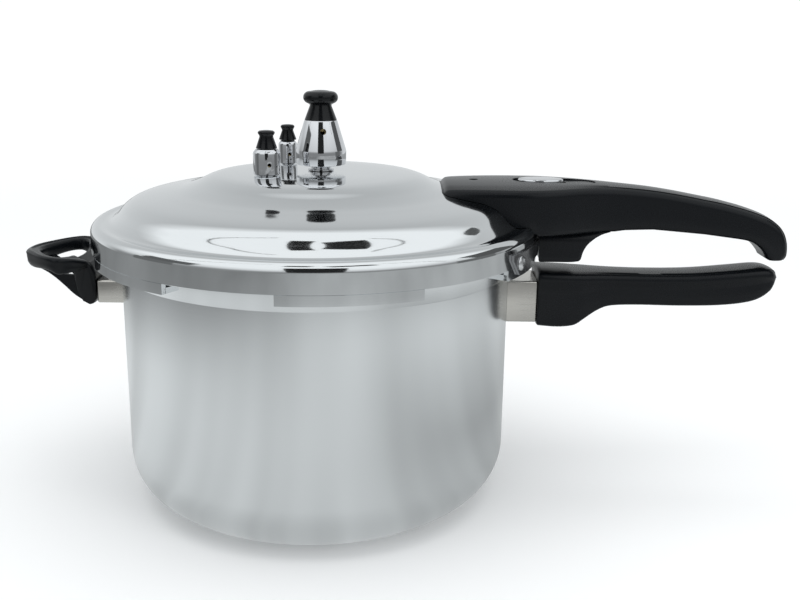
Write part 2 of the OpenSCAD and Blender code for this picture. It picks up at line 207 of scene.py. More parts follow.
floor_r, glow_r = 5.9, 2.5
no_light = (0, 0, 0, 1)
floor_paint = Paint("floor_pale")
x, y, z = floor_paint.parts()
away = floor_paint.ramp((x * x + y * y) ** 0.5 * 0.17, [(0.03, 0.08), (0.3, 1.0)])
floor_paint.set(Base_Color=floor_paint.mix(away, (0.95, 0.95, 0.95, 1), no_light), Roughness=1.0,
                Specular_IOR_Level=0.0, Emission_Strength=1.0,
                Emission_Color=floor_paint.mix(away, no_light, (1.03, 1.04, 1.05, 1)))
hidden_from(disc("floor", floor_r, 0.0, floor_paint), gloss=True)


def floor_shade(paint, x, y, z):
    """A painted reflection of the floor for the metal: rings of painted light, darker close to the pot as
    painted shadow, soft dark streaks that point away from the pot, and darker patches to the right and left
    as painted shade.
    """
    r = (x * x + y * y) ** 0.5
    rings = paint.ramp(r * (1 / glow_r), [(0.05, 0.56), (0.075, 0.68), (0.12, 0.72), (0.235, 0.68),
                                          (0.29, 0.40), (0.6, 0.38), (1.0, 0.45)])
    per_r = (r + 0.001) ** -1.0
    streaks = paint.noise(paint.vector(x * per_r * 2.6, y * per_r * 2.6, r * 0.5), 1.0, 3.0)
    # painted shade: darker patches to the right and to the left of the pot in the reflected floor
    painted_shade_right = (x * 4.0).clamp() * (1.9 - r * 3.6).clamp() * 0.42
    painted_shade_left = (x * -2.0).clamp() * (r * 5.0 - 2.0).clamp() * 0.4
    return rings * (0.6 + streaks * 0.85) * (1.0 - painted_shade_right) * (1.0 - painted_shade_left)


# In the metal's reflections this glowing disc stands in for the floor: a painted reflection, with painted
# shadow round the pot.
floor_glow = disc("floor_painted_reflection", glow_r, -0.002, glow("floor_painted_reflection", floor_shade))
hidden_from(floor_glow, camera=True)
floor_glow.visible_diffuse = False
bm = bmesh.new()
backdrop_r = floor_r - 0.1
bmesh.ops.create_cone(bm, cap_ends=False, segments=96, radius1=backdrop_r, radius2=backdrop_r, depth=8)
backdrop = plain_mesh("backdrop", bm)
backdrop.data.materials.append(glow("backdrop_white", lambda paint, x, y, z: 1.06).material)
hidden_from(backdrop, gloss=True)
backdrop.visible_diffuse = False

tent = bpy.data.worlds.new("tent")
tent.use_nodes = True
sky = Nodes(tent.node_tree)
across, along, up = sky.split(sky.add("ShaderNodeTexCoord", {}, {}).outputs["Generated"])
behind = (along * 4.0 - 1.2).clamp()
front = sky.ramp(up, [(0.0, 0.26), (0.12, 0.36), (0.3, 0.72), (0.6, 1.0), (1.0, 1.0)])
back = sky.ramp(up, [(0.0, 0.74), (0.3, 0.64), (0.9, 0.50)])
shade = front + (back - front) * behind
sky.plug(sky.tree.nodes["Background"].inputs["Color"],
         sky.add("ShaderNodeCombineColor", {}, {0: shade * 0.955, 1: shade * 0.985, 2: shade}).outputs[0])
bpy.context.scene.world = tent


def soft_light(name, place, target, width, height, power):
    """A light that neither the camera nor the metal sees."""
    data = bpy.data.lights.new(name, "AREA")
    data.shape = "RECTANGLE"
    data.size, data.size_y, data.energy = width, height, power
    light = bpy.data.objects.new(name, data)
    light.location = place
    light.rotation_euler = (Vector(target) - Vector(place)).to_track_quat("-Z", "Y").to_euler()
    light.visible_camera = False
    light.visible_glossy = False
    bpy.context.scene.collection.objects.link(light)


soft_light("top_light", (0.0, -0.1, 1.5), (0, 0, 0.1), 1.6, 1.2, 9)
soft_light("right_light", (1.1, -1.0, 0.7), (0, 0, 0.12), 0.5, 1.1, 3)


def card(name, place, target, width, height, shade):
    """A card that only the metal sees, so that its reflection shows the shape of the metal."""
    bm = bmesh.new()
    bmesh.ops.create_grid(bm, x_segments=1, y_segments=1, size=0.5)
    bmesh.ops.scale(bm, vec=(width, height, 1), verts=bm.verts)
    turn = (Vector(target) - Vector(place)).to_track_quat("Z", "Y").to_matrix()
    bmesh.ops.rotate(bm, matrix=turn, verts=bm.verts)
    bmesh.ops.translate(bm, vec=place, verts=bm.verts)
    thing = plain_mesh(name, bm)
    thing.data.materials.append(glow(name, lambda paint, x, y, z: shade).material)
    hidden_from(thing, camera=True)
    thing.visible_diffuse = False
    thing.visible_shadow = False


for details in (
    ("card_block_left", (-0.1, -0.5, 1.3), (0, 0, 0.18), 0.2, 0.24, 0.02),
    ("card_block_right", (0.3, -0.5, 1.3), (0, 0, 0.18), 0.4, 0.24, 0.02),
    ("card_left", (-1.3, -0.3, 0.2), (0, 0, 0.15), 0.6, 0.5, 0.15),
    ("card_right", (1.5, -0.1, 0.2), (0, 0, 0.15), 0.7, 0.5, 0.15),
    ("card_middle", (0.1, -1.5, 0.86), (0, 0, 0.2), 0.8, 1.3, 0.02),
    ("card_seam_left", (-1.0, -0.25, 1.5), (0, 0, 0.2), 0.03, 1.6, 0.03),
    ("card_seam_right", (1.1, -0.35, 1.5), (0, 0, 0.2), 0.03, 1.4, 0.03),
    ("card_side_left", (-1.5, -0.5, 0.75), (0, 0, 0.2), 0.9, 0.6, 0.12),
    ("card_side_right", (1.4, 0.3, 0.75), (0, 0, 0.2), 0.9, 0.7, 0.1),
):
    card(*details)

# ---- Pot body -------------------------------------------------------------------
# The pot is deep-drawn from one aluminium sheet, with a thicker band at the top. Six lugs stand out
# of the band, for the lid to lock under. Its wall is turned, which leaves very fine rings.
mm = 0.001
pot_r = 120 * mm
wall = 3 * mm
base_fillet = 34 * mm
mouth_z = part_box("pot_body")[1].z
band_r = pot_r + 1.5 * mm
band_z = 147.4 * mm
steps_round = 288


def arc(cx, cz, r, start, end, count):
    """Points on an arc in the plane of a turned outline, angles in degrees."""
    turns = [math.radians(start + (end - start) * i / count) for i in range(count + 1)]
    return [(cx + r * math.cos(t), cz + r * math.sin(t)) for t in turns]


def curve(points, count):
    """A smooth line through the points, with count steps between each two."""
    line = []
    for i in range(len(points) - 1):
        a, b = Vector(points[max(i - 1, 0)]), Vector(points[i])
        c, d = Vector(points[i + 1]), Vector(points[min(i + 2, len(points) - 1)])
        for k in range(count):
            t = k / count
            line.append(0.5 * (2 * b + (c - a) * t + (2 * a - 5 * b + 4 * c - d) * t * t
                               + (3 * b - a - 3 * c + d) * t * t * t))
    return line + [Vector(points[-1])]


def turned(bm, outline, steps=steps_round, centre=(0, 0, 0)):
    """Spins an outline of (radius, height) points about an upright axis through centre."""
    start = len(bm.verts)
    verts = [bm.verts.new((centre[0] + r, centre[1], centre[2] + z)) for r, z in outline]
    edges = [bm.edges.new(pair) for pair in zip(verts, verts[1:])]
    bmesh.ops.spin(bm, geom=verts + edges, cent=centre, axis=(0, 0, 1), angle=math.tau, steps=steps,
                   use_merge=True)
    bm.verts.ensure_lookup_table()
    bmesh.ops.remove_doubles(bm, verts=bm.verts[start:], dist=1e-6)


def in_mm(points):
    return [(across * mm, up * mm) for across, up in points]


def sector(bm, r0, r1, z0, z1, middle, span, steps=16):
    """A solid piece of a ring, between two radii and two heights, round the direction middle."""
    verts = [bm.verts.new(p) for p in ((r0, 0, z0), (r1, 0, z0), (r1, 0, z1), (r0, 0, z1))]
    face = bm.faces.new(verts)
    turn = Matrix.Rotation(math.radians(middle - span / 2), 3, "Z")
    bmesh.ops.rotate(bm, matrix=turn, verts=verts)
    bmesh.ops.spin(bm, geom=verts + list(face.edges) + [face], cent=(0, 0, 0), axis=(0, 0, 1),
                   angle=math.radians(span), steps=steps)


def piece(name, bm, body, paint, nodes, sharp=35, fix_normals=True):
    """Finishes a mesh: outward faces, smooth but for its edges, its finish, and the body it rides on."""
    if fix_normals:
        bmesh.ops.recalc_face_normals(bm, faces=bm.faces)
    thing = plain_mesh(name, bm)
    for polygon in thing.data.polygons:
        polygon.use_smooth = True
    thing.data.set_sharp_from_angle(angle=math.radians(sharp))
    thing.data.materials.append(paint.material)
    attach(thing, body)
    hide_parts(*nodes)
    return thing


def metal(name, colour, rough, streak, ring_scale, height):
    """Turned metal: fine rings round the upright axis, which change its roughness and its slope."""
    paint = Paint(name)
    x, y, z = paint.parts()
    radius = (x * x + y * y) ** 0.5
    rings = paint.noise(paint.vector(radius * ring_scale, z * ring_scale, (x + y) * 3.0), 1.0, 4.0)
    patches = paint.noise(paint.place(), 14.0, 3.0)
    paint.set(Metallic=1.0, Roughness=rough + (rings - 0.5) * streak + (patches - 0.5) * streak * 0.7)
    dull = tuple(0.93 * c for c in colour)
    paint.set(Base_Color=paint.mix((patches * 0.6 + rings * 0.4).clamp(), (*dull, 1), (*colour, 1)))
    paint.bump(rings, height)
    return paint


outline = ([(0.0, 0.0), (50 * mm, 0.0)] + arc(pot_r - base_fillet, base_fillet, base_fillet, -90, 0, 18)
           + [(pot_r, 90 * mm), (pot_r, band_z), (band_r - 0.3 * mm, band_z + 0.2 * mm)]
           + [(band_r, band_z + 0.8 * mm)]
           + arc(band_r - 1 * mm, mouth_z - 1 * mm, 1 * mm, 0, 180, 8)[:5]
           + [(pot_r - wall + 0.8 * mm, mouth_z), (pot_r - wall, mouth_z - 0.8 * mm)]
           + arc(pot_r - base_fillet, base_fillet, base_fillet - wall, 0, -90, 18) + [(0.0, wall)])
bm = bmesh.new()
turned(bm, outline)
tab_at, tab_count, lug_span = -78, 6, 26
tab_step = 360 / tab_count
lug_low, lug_high, lug_out = 158.6 * mm, 164 * mm, 10 * mm
for i in range(tab_count):
    sector(bm, band_r - 1 * mm, band_r + lug_out, lug_low, lug_high, tab_at + i * tab_step, lug_span)
pot_paint = metal("pot_satin_aluminium", (0.83, 0.85, 0.86), 0.2, 0.10, 5200.0, 0.000004)
pot_paint.set(Anisotropic=0.5)
piece("pot", bm, "pot", pot_paint, ["pot_body"])

# ---- Canning rack -----------------------------------------------------------------
# A punched aluminium disc on a turned-down rim holds the jars off the base. It lies loose in the pot.
rack_paint = metal("rack_plain_aluminium", (0.74, 0.75, 0.76), 0.35, 0.1, 900.0, 0.00001)


def repaint(paint, *nodes):
    for node in nodes:
        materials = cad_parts[node].data.materials
        materials.clear()
        materials.append(paint.material)


repaint(rack_paint, "canning_rack")

# ---- Brackets for the pot's handles -----------------------------------------------
# Each is a box of satin stainless sheet. Its open inner end is cut to the curve of the pot and
# riveted to it, and its outer end carries the screws of a handle.
steel_paint = Paint("bracket_satin_steel")
x, y, z = steel_paint.parts()
grain = steel_paint.noise(steel_paint.vector(x * 60.0, y * 900.0, z * 900.0), 1.0, 3.0)
smudge = steel_paint.noise(steel_paint.place(), 55.0, 3.0)
steel_paint.set(Metallic=1.0, Roughness=0.22 + (grain - 0.5) * 0.2 + (smudge - 0.5) * 0.25,
                Base_Color=steel_paint.mix(smudge, (0.55, 0.53, 0.49, 1), (0.72, 0.70, 0.66, 1)))
steel_paint.bump(grain, 0.00001)


def wall_bracket(name, node, direction):
    """A box of sheet from the pot's wall to the bracket's reach, towards +X or -X."""
    low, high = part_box(node)
    reach = max(abs(low.x), abs(high.x))
    half, sheet, bend = high.y, 1.5 * mm, 1.1 * mm
    start, inner = 100 * mm, pot_r + 0.1 * mm
    bm = bmesh.new()
    bmesh.ops.create_cube(bm, size=1)
    bmesh.ops.scale(bm, vec=(reach - start, 2 * half, high.z - low.z), verts=bm.verts)
    bmesh.ops.translate(bm, vec=((reach + start) / 2, 0, (high.z + low.z) / 2), verts=bm.verts)
    open_end = [f for f in bm.faces if f.normal.x < -0.9]
    bmesh.ops.delete(bm, geom=open_end, context="FACES_ONLY")
    rims = [e for e in bm.edges if len(e.link_faces) == 2]
    bmesh.ops.bevel(bm, geom=rims, offset=bend, segments=4, profile=0.5, affect="EDGES", material=-1)
    wide = [e for e in bm.edges if abs(e.verts[0].co.y - e.verts[1].co.y) > half]
    bmesh.ops.subdivide_edges(bm, edges=wide, cuts=15, use_grid_fill=True)
    for v in bm.verts:
        if v.co.x < start + 1 * mm:
            v.co.x = math.sqrt(inner ** 2 - v.co.y ** 2)
    bmesh.ops.recalc_face_normals(bm, faces=bm.faces)
    bmesh.ops.solidify(bm, geom=bm.faces, thickness=sheet)
    if direction < 0:
        bmesh.ops.rotate(bm, matrix=Matrix.Rotation(math.pi, 3, "Z"), verts=bm.verts)
    return piece(name, bm, "pot", steel_paint, [node], fix_normals=False)


wall_bracket("long_bracket", "pot_handle_bracket", 1)
wall_bracket("side_bracket", "side_handle_bracket", -1)
zinc_paint = Paint("zinc_plated_steel")
dots = zinc_paint.noise(zinc_paint.place(), 900.0)
zinc_paint.set(Metallic=1.0, Base_Color=(0.66, 0.66, 0.66, 1), Roughness=0.25 + dots * 0.2)
repaint(zinc_paint, "pot_bracket_rivets", "side_bracket_rivets", "pot_handle_screws", "side_handle_screw",
        "lid_handle_screws", "slider_screw", "vent_pipe_nut", "safety_valve_nut", "relief_valve_nut",
        "lock_pin_nut", "slider_bolt", "lock_pin")

# ---- Long handle of the pot ---------------------------------------------------------
# A grip moulded in black phenolic. A rolled bead runs along its upper edges with a narrow ledge
# under it, its root is deeper than its grip, and it is screwed to the bracket from inside.
black_paint = Paint("handle_black_phenolic")
flow = black_paint.noise(black_paint.place(), 9.0, 2.0)
fine = black_paint.noise(black_paint.place(), 1500.0, 2.0)
black_paint.set(Base_Color=(0.0045, 0.0055, 0.007, 1), Roughness=0.2 + flow * 0.12 + fine * 0.05,
                Specular_IOR_Level=0.2, Coat_Weight=0.06, Coat_Roughness=0.1)
black_paint.bump(flow + fine * 0.02, 0.0001)


def only_verts(geom):
    return [part for part in geom if isinstance(part, bmesh.types.BMVert)]


def lofted(bm, rings):
    """A skin over closed rings of points that all have the same count, with both ends closed."""
    verts = [bm.verts.new(p) for p in rings[0]]
    edges = [bm.edges.new((verts[i], verts[(i + 1) % len(verts)])) for i in range(len(verts))]
    bm.faces.new(verts)
    for ring in rings[1:]:
        grown = bmesh.ops.extrude_edge_only(bm, edges=edges)["geom"]
        after = only_verts(grown)
        edges = [g for g in grown if isinstance(g, bmesh.types.BMEdge) and all(v in after for v in g.verts)]
        for v, p in zip(after, ring):
            v.co = p
        verts = after
    bm.faces.new(verts)


def rounded(half, z0, z1, radius, crown=0.0, bead=0.0, count=6):
    """A handle's section: (across, up) points of a box with round corners, a crowned top, and a
    bead along its upper edges where bead is over 0."""
    radius = min(radius, 0.48 * (z1 - z0), 0.9 * half)
    foot_radius = min(radius * 0.8, 0.3 * (z1 - z0))
    edge_z = z1 - crown
    right = [(half * 0.9 * k / 5, z1 - crown * (k / 5 * 0.9) ** 2) for k in range(5)]
    corner = arc(half - radius, edge_z - radius, radius, 88, 0, count)
    right += [(max(a, right[-1][0]), b) for a, b in corner]
    side_top, side_low = edge_z - radius, z0 + foot_radius
    bead_z = max(edge_z - 5.2 * mm, side_low)
    inset = half - bead
    under = bead * 1.2
    right += [(half, side_top - 0.3 * (side_top - bead_z)), (half, bead_z + 0.1 * mm)]
    right += [(inset, bead_z + (side_low - bead_z) * t - under * (1 - t)) for t in (0.0, 0.3, 0.6)]
    right += arc(inset - foot_radius, side_low, foot_radius, 0, -90, 4)
    right += [((inset - foot_radius) * t, z0) for t in (0.66, 0.33, 0.0)]
    left = [(-a, b) for a, b in right[1:-1]]
    return right + left[::-1]


def at(line, x):
    """The value at x of a smooth line that is given as points in rising x."""
    if x <= line[0][0]:
        return line[0][1]
    for (x0, v0), (x1, v1) in zip(line, line[1:]):
        if x <= x1:
            return v0 + (v1 - v0) * (x - x0) / max(x1 - x0, 1e-9)
    return line[-1][1]


def stations(points, count=6):
    """A smooth line through (place, value) points, in the form that at() reads."""
    return [(p[0], p[1]) for p in curve(points, count)]


top_line = stations([(138, 146.2), (175, 145), (205, 144.3), (235, 144.8), (261, 147), (277, 148.6),
                     (284.6, 148), (288.2, 145.6), (289.2, 142.8)])
low_line = stations([(138, 111.5), (150, 110.6), (158, 110.9), (163, 112), (169, 116), (176, 120.4),
                     (184, 123.3), (200, 124), (228, 123.8), (253, 124.6), (271, 127), (281, 131),
                     (287, 136.4), (289.2, 141.8)])
side_line = stations([(138, 18.5), (152, 18.2), (165, 16.8), (180, 13.8), (200, 12.7), (235, 12.9),
                      (264, 13.4), (279, 12.8), (285.6, 10.2), (289.2, 5.5)])
xs = [138, 138.5] + [139 + 2.0 * i for i in range(70)]
xs += [279, 281, 283, 284.6, 286, 287.2, 288.1, 288.8, 289.2]
rings = []
for i, x in enumerate(xs):
    ease = (0.7, 0.25)[i] if i < 2 else 0.0
    half, z0, z1 = at(side_line, x) - ease, at(low_line, x) + ease, at(top_line, x) - ease
    bead = (0.7 if x < 284 else 0.2) * mm
    section = rounded(half * mm, z0 * mm, z1 * mm, 3.4 * mm, crown=0.8 * mm, bead=bead)
    rings.append([(x * mm, a, b) for a, b in section])
bm = bmesh.new()
lofted(bm, rings)
piece("long_grip", bm, "pot", black_paint, ["pot_handle"], sharp=50)

# ---- Side handle ------------------------------------------------------------------------
# A helper handle, moulded in the same black phenolic as the grip. Two slim bars go out from its root
# and meet in a round nose, and two ribs run under them. One screw holds it from inside its bracket.
outer = [(137, 0), (137, 5), (137, 10), (137.2, 14.4), (139.4, 17), (143, 24), (148, 32),
         (153, 35.4), (159, 34), (167, 27), (175, 17), (181, 8.5), (184.6, 0)]
hole = [(148.5, 0), (148.6, 3.4), (148.8, 6.8), (149.1, 10.5), (149.6, 14), (150.4, 18), (151.6, 22),
        (153.6, 25.4), (157.4, 27), (163.6, 22.4), (169.4, 13.6), (172.8, 6), (173.6, 0)]
outer, hole = stations(outer, 5), stations(hole, 5)
outer += [(a, -b) for a, b in outer[-2:0:-1]]
hole += [(a, -b) for a, b in hole[-2:0:-1]]
bar_top = stations([(137, 144), (141, 149), (148, 153.4), (157, 155), (170, 155), (180, 154.4),
                    (183.4, 152.6), (184.6, 150.4)])
bar_low = stations([(137, 121.2), (143, 121.6), (147, 125), (150, 134), (153, 142), (157, 146),
                    (165, 146.4), (175, 144.6), (181, 145), (183.6, 146.8), (184.6, 149.4)])
bar_z, root_half, root_blend = 144.4, 15.5, 1.5
# the bar's section, from the hole's edge (0) to the outer edge (1) and from its underside to its top
section = [(0.0, 0.5), (0.0, 0.74), (0.06, 0.88), (0.2, 0.93), (0.36, 0.91), (0.5, 0.89), (0.6, 0.9),
           (0.66, 0.97), (0.78, 1.0), (0.91, 0.97), (1.0, 0.86), (1.0, 0.76), (0.97, 0.68), (0.96, 0.4),
           (0.95, 0.14), (0.88, 0.04), (0.75, 0.0), (0.4, 0.0), (0.16, 0.02), (0.04, 0.08), (0.0, 0.2)]
rings = []
for (ox, oy), (hx, hy) in zip(outer, hole):
    ring = []
    for u, v in section:
        px, py = hx + (ox - hx) * u, hy + (oy - hy) * u
        z0, z1 = at(bar_low, px), at(bar_top, px)
        z0 += max(bar_z - z0, 0.0) * min(max((abs(py) - root_half) / root_blend, 0.0), 1.0)
        ring.append((-px * mm, py * mm, (z0 + (z1 - z0) * v) * mm))
    rings.append(ring)
bm = bmesh.new()
loops = []
for ring in rings:
    verts = [bm.verts.new(p) for p in ring]
    loops.append([bm.edges.new((verts[i], verts[(i + 1) % len(verts)])) for i in range(len(verts))])
for first, second in zip(loops, loops[1:] + loops[:1]):
    bmesh.ops.bridge_loops(bm, edges=first + second)
bmesh.ops.smooth_vert(bm, verts=[v for v in bm.verts if v.co.x < -150 * mm], factor=0.5,
                      use_axis_x=True, use_axis_y=True, use_axis_z=True)
rib_inner, rib_thick = 10.2, 3
rib = stations([(146, 123.4), (148, 124.6), (152, 127.6), (157, 132.6), (163.5, 138.6), (170, 142.9),
                (177, 145.6)], 4)
rib += stations([(177, 149), (172, 147.4), (167, 144.4), (161, 141), (155, 139.6), (146, 139.4)], 4)
for side in (-1, 1):
    face = bm.faces.new([bm.verts.new((-a * mm, side * rib_inner * mm, b * mm)) for a, b in rib])
    far_side = only_verts(bmesh.ops.extrude_face_region(bm, geom=[face])["geom"])
    bmesh.ops.translate(bm, vec=(0, side * rib_thick * mm, 0), verts=far_side)
piece("side_loop", bm, "pot", black_paint, ["side_handle"], sharp=50)

# ---- Lid -----------------------------------------------------------------------------------
# Spun and pressed from aluminium sheet: a flat crown, a soft step, a shoulder and a groove inside
# a rolled rim. Its skirt has six tabs that turn under the pot's lugs. It is polished like a mirror.
skirt_r, lid_t = 136.5, 3.0
tab_z, notch_z, tab_span = 154.8, 160.5, 33
lip_r, lip_top = 124.0, 158.0
lid_line = [(0, 205), (36, 204.8), (52, 204.2), (61, 203.3), (67, 201.5), (74, 198.2), (83, 195),
            (92, 193.2), (104, 191), (111, 188.9), (116.5, 185.4), (121, 180.4), (124.6, 177.4),
            (127.5, 176.6)]
crown = stations(lid_line, 10)
rim = ([(129.5, 176.8)] + arc(131, 171.6, skirt_r - 131, 82, 0, 16)
       + [(skirt_r, 165), (skirt_r, notch_z + 0.3), (skirt_r - 0.3, notch_z), (skirt_r - lid_t, notch_z)])
under = [(skirt_r - lid_t, 172), (skirt_r - lid_t - 1.5, 173.5), (126.6, 173.5), (123, 175)]
under += [(r - 1.2, z - 3) for r, z in crown[::-1] if 5 < r < 121] + [(0, 202)]
bm = bmesh.new()
turned(bm, in_mm(crown + rim + under))
for i in range(tab_count):
    middle = tab_at + i * tab_step
    sector(bm, (skirt_r - lid_t) * mm, skirt_r * mm, tab_z * mm, (notch_z + 0.1) * mm, middle, tab_span)
    sector(bm, lip_r * mm, (skirt_r - 1) * mm, tab_z * mm, lip_top * mm, middle, tab_span)
lid_paint = metal("lid_mirror_aluminium", (0.86, 0.88, 0.89), 0.075, 0.06, 3000.0, 0.0000015)
piece("lid", bm, "lid", lid_paint, ["lid_shell"])

rubber_paint = Paint("seal_grey_rubber")
bloom = rubber_paint.noise(rubber_paint.place(), 700.0)
rubber_paint.set(Base_Color=(0.11, 0.11, 0.115, 1), Roughness=0.55 + bloom * 0.2)
repaint(rubber_paint, "sealing_ring", "vent_gasket", "lock_pin_seal")

# ---- Strap of the lid handle -------------------------------------------------------------------
# A stainless strap lies round the skirt, with a pointed and riveted end on each side. Two tongues
# stand out of its middle into the handle's foot.
strap_paint = Paint("strap_steel_darkened_as_painted_reflection")
scuffs = strap_paint.noise(strap_paint.place(), 120.0, 4.0)
# The strap's base colour is darkened well below that of steel: a painted reflection of the black handle
# above it.
strap_paint.set(Metallic=1.0, Base_Color=(0.40, 0.40, 0.41, 1), Roughness=0.18 + scuffs * 0.15)
strap_paint.bump(scuffs, 0.00002)
repaint(strap_paint, "lid_strap")
rivet_paint = Paint("rivet_bright_aluminium")
rivet_paint.set(Metallic=1.0, Base_Color=(0.78, 0.79, 0.8, 1),
                Roughness=0.2 + rivet_paint.noise(rivet_paint.place(), 400.0) * 0.15)
rivet_r, rivet_z, rivet_turn = 138.2, 163, 29.2
rivet_line = [(0, -5.5), (2.5, -5.5), (2.5, 0), (4.2, 0.05), (4.1, 0.5), (3.4, 1.1), (2.2, 1.5), (0, 1.6)]
bm = bmesh.new()
for side in (-1, 1):
    verts_before = set(bm.verts)
    turned(bm, in_mm(rivet_line), steps=32)
    dome = [v for v in bm.verts if v not in verts_before]
    bmesh.ops.rotate(bm, matrix=Matrix.Rotation(math.pi / 2, 3, "Y"), verts=dome)
    bmesh.ops.translate(bm, vec=(rivet_r * mm, 0, rivet_z * mm), verts=dome)
    bmesh.ops.rotate(bm, matrix=Matrix.Rotation(math.radians(rivet_turn * side), 3, "Z"), verts=dome)
piece("strap_rivets", bm, "lid", rivet_paint, ["lid_strap_rivets"])

# ---- Lid handle --------------------------------------------------------------------------------
# The upper grip, moulded in black phenolic. Its wide head is a hollow cover that fits the top of the
# lid and holds the lock; its far end hooks down towards the pot's grip.
head_top = [(76.8, 197.6), (79, 199.2), (84, 200.2), (110, 200.8), (150, 200.7), (172, 200), (188, 198.8),
            (206, 197.1), (222, 194.8), (238, 191.9), (250, 189.6), (262, 186.6)]
head_half = [(76.8, 27), (79, 29), (84, 31), (100, 33.4), (120, 35.2), (138, 34), (152, 28.5),
             (168, 20.5), (184, 15.5), (206, 13.6), (240, 13.4), (262, 13.8)]
head_low = [(76.8, 190), (120, 171.2), (184, 171.2), (190, 171.9), (208, 172.3), (240, 169.7), (258, 167.5)]
top_line, side_line = stations(head_top), stations(head_half)


def lid_height(r):
    """Height of the lid's top at the radius r, in millimetres."""
    if r > skirt_r:
        return 0.0
    return at(crown + rim[:17], r)


head_x, roof_z, button_z, slot_half = 76.8, 197.2, 199.4, 9.5
xs = [head_x, 77.0, 77.6, 78.6] + [80 + 2.0 * i for i in range(90)]
rings = []
for x in xs:
    ease = max(0.0, 1.0 - (x - head_x) / 2.6) ** 2 * 2.2
    half, z1 = at(side_line, x) - ease, at(top_line, x) - ease
    z0 = at(head_low, x)
    crowned = 2.0 if x < 130 else 2.0 - min((x - 130) / 60, 1)
    section = rounded(half * mm, z0 * mm, z1 * mm, 4.2 * mm, crown=crowned * mm)
    rings.append([(x * mm, a, b) for a, b in section])
# the hook bends down, so its section turns with it: back (x, z), inside (x, z) and half width
hook = [(263, 186.4, 262, 167.0, 13.8), (271, 183.9, 266, 166.3, 13.8),
        (278.6, 180.9, 269.6, 165.2, 13.8), (285, 176.8, 273, 163.2, 13.4),
        (289.4, 172, 275.9, 160.8, 12.9), (292, 166.4, 278, 158.4, 12.4),
        (293.1, 161, 279.4, 156.4, 11.9), (293.2, 156.4, 280.4, 154.6, 11.4),
        (292, 153.8, 282, 153.6, 10.6)]
for tx, tz, lx, lz, half in curve([Vector(p) for p in hook], 3):
    depth = math.hypot(tx - lx, tz - lz)
    outward = ((tx - lx) / depth, (tz - lz) / depth)
    section = rounded(half * mm, 0.0, depth * mm, 4.2 * mm, crown=1.0 * mm)
    rings.append([(lx * mm + b * outward[0], a, lz * mm + b * outward[1]) for a, b in section])
bm = bmesh.new()
lofted(bm, rings)
for v in bm.verts:
    r = math.hypot(v.co.x, v.co.y) / mm
    v.co.z = max(v.co.z, (lid_height(r) + 0.2) * mm)
bmesh.ops.recalc_face_normals(bm, faces=bm.faces)
handle = plain_mesh("lid_grip_solid", bm)


def cut(thing, cutters):
    """Takes the cutters' volume out of a piece, and gives the result as a new mesh."""
    for cutter in cutters:
        step = thing.modifiers.new("cut", "BOOLEAN")
        step.object, step.operation, step.solver = cutter, "DIFFERENCE", "EXACT"
    bpy.context.view_layer.update()
    bm = bmesh.new()
    bm.from_object(thing, bpy.context.evaluated_depsgraph_get())
    for used in [thing] + cutters:
        bpy.data.objects.remove(used)
    return bm


def slot_shape(name, x0, x1, r, z0, z1):
    """A slot with round ends along X, as a solid to cut with."""
    bm = bmesh.new()
    ends = arc(x1, 0, r, -90, 90, 24) + arc(x0, 0, r, 90, 270, 24)
    face = bm.faces.new([bm.verts.new((a, b, z0)) for a, b in ends])
    upper = only_verts(bmesh.ops.extrude_face_region(bm, geom=[face])["geom"])
    bmesh.ops.translate(bm, vec=(0, 0, z1 - z0), verts=upper)
    bmesh.ops.recalc_face_normals(bm, faces=bm.faces)
    return plain_mesh(name, bm)


hollow = []
for x in [82 + 3.0 * i for i in range(19)]:
    half = at(side_line, x) - 3.8
    section = rounded(half * mm, 150 * mm, roof_z * mm, 3 * mm, crown=1.0 * mm)
    hollow.append([(x * mm, a, b) for a, b in section])
bm = bmesh.new()
lofted(bm, hollow)
bmesh.ops.recalc_face_normals(bm, faces=bm.faces)
cutters = [plain_mesh("hollow", bm),
           slot_shape("channel", 130 * mm, 152 * mm, slot_half * mm, 190.5 * mm, roof_z * mm),
           slot_shape("neck_slot", 134 * mm, 151 * mm, 3.3 * mm, 190 * mm, 210 * mm),
           slot_shape("recess", 130.5 * mm, 163 * mm, slot_half * mm, button_z * mm, 213 * mm),
           slot_shape("window", 96.9 * mm, 97.1 * mm, 2.6 * mm, 190 * mm, 215 * mm)]
bm = cut(handle, cutters)
piece("lid_grip", bm, "lid", black_paint, ["lid_handle"], sharp=38, fix_normals=False)

# ---- Foot of the lid handle --------------------------------------------------------------------
# A block under the head, outside the rim. It sits on the strap's tongues, and two screws from below
# hold it and the head together. Its front runs out into the grip in a hollow curve.
foot_low, foot_high, foot_half, corner = 152.6, 171.1, 18.6, 3
front_line = stations([(foot_low, 158), (153.1, 162.2), (154.6, 163.6), (158, 164.4), (161, 165.6),
                       (164.4, 168), (168, 172.4), (170, 177), (foot_high, 181.5)], 4)
foot_r = skirt_r + 1.8
rings = []
for z in [foot_low, 152.8, 153.3, 154.2] + [156 + 1.5 * i for i in range(10)] + [170.4, foot_high]:
    ease = max(0.0, 1.0 - (z - foot_low) / 1.2) ** 2 * 1.2
    tip = at(front_line, z)
    half = min(foot_half, at(side_line, tip) - 0.6) - ease
    bend = tip - corner
    ring = [(math.sqrt((foot_r + ease) ** 2 - y * y), y) for y in [half * k / 6 for k in range(6, -7, -1)]]
    ring += [(bend, -half)] + arc(bend, corner - half, corner, -75, 0, 5)
    ring += arc(bend, half - corner, corner, 0, 75, 5) + [(bend, half)]
    rings.append([(a * mm, b * mm, z * mm) for a, b in ring])
bm = bmesh.new()
lofted(bm, rings)
bmesh.ops.recalc_face_normals(bm, faces=bm.faces)
foot = plain_mesh("foot_solid", bm)
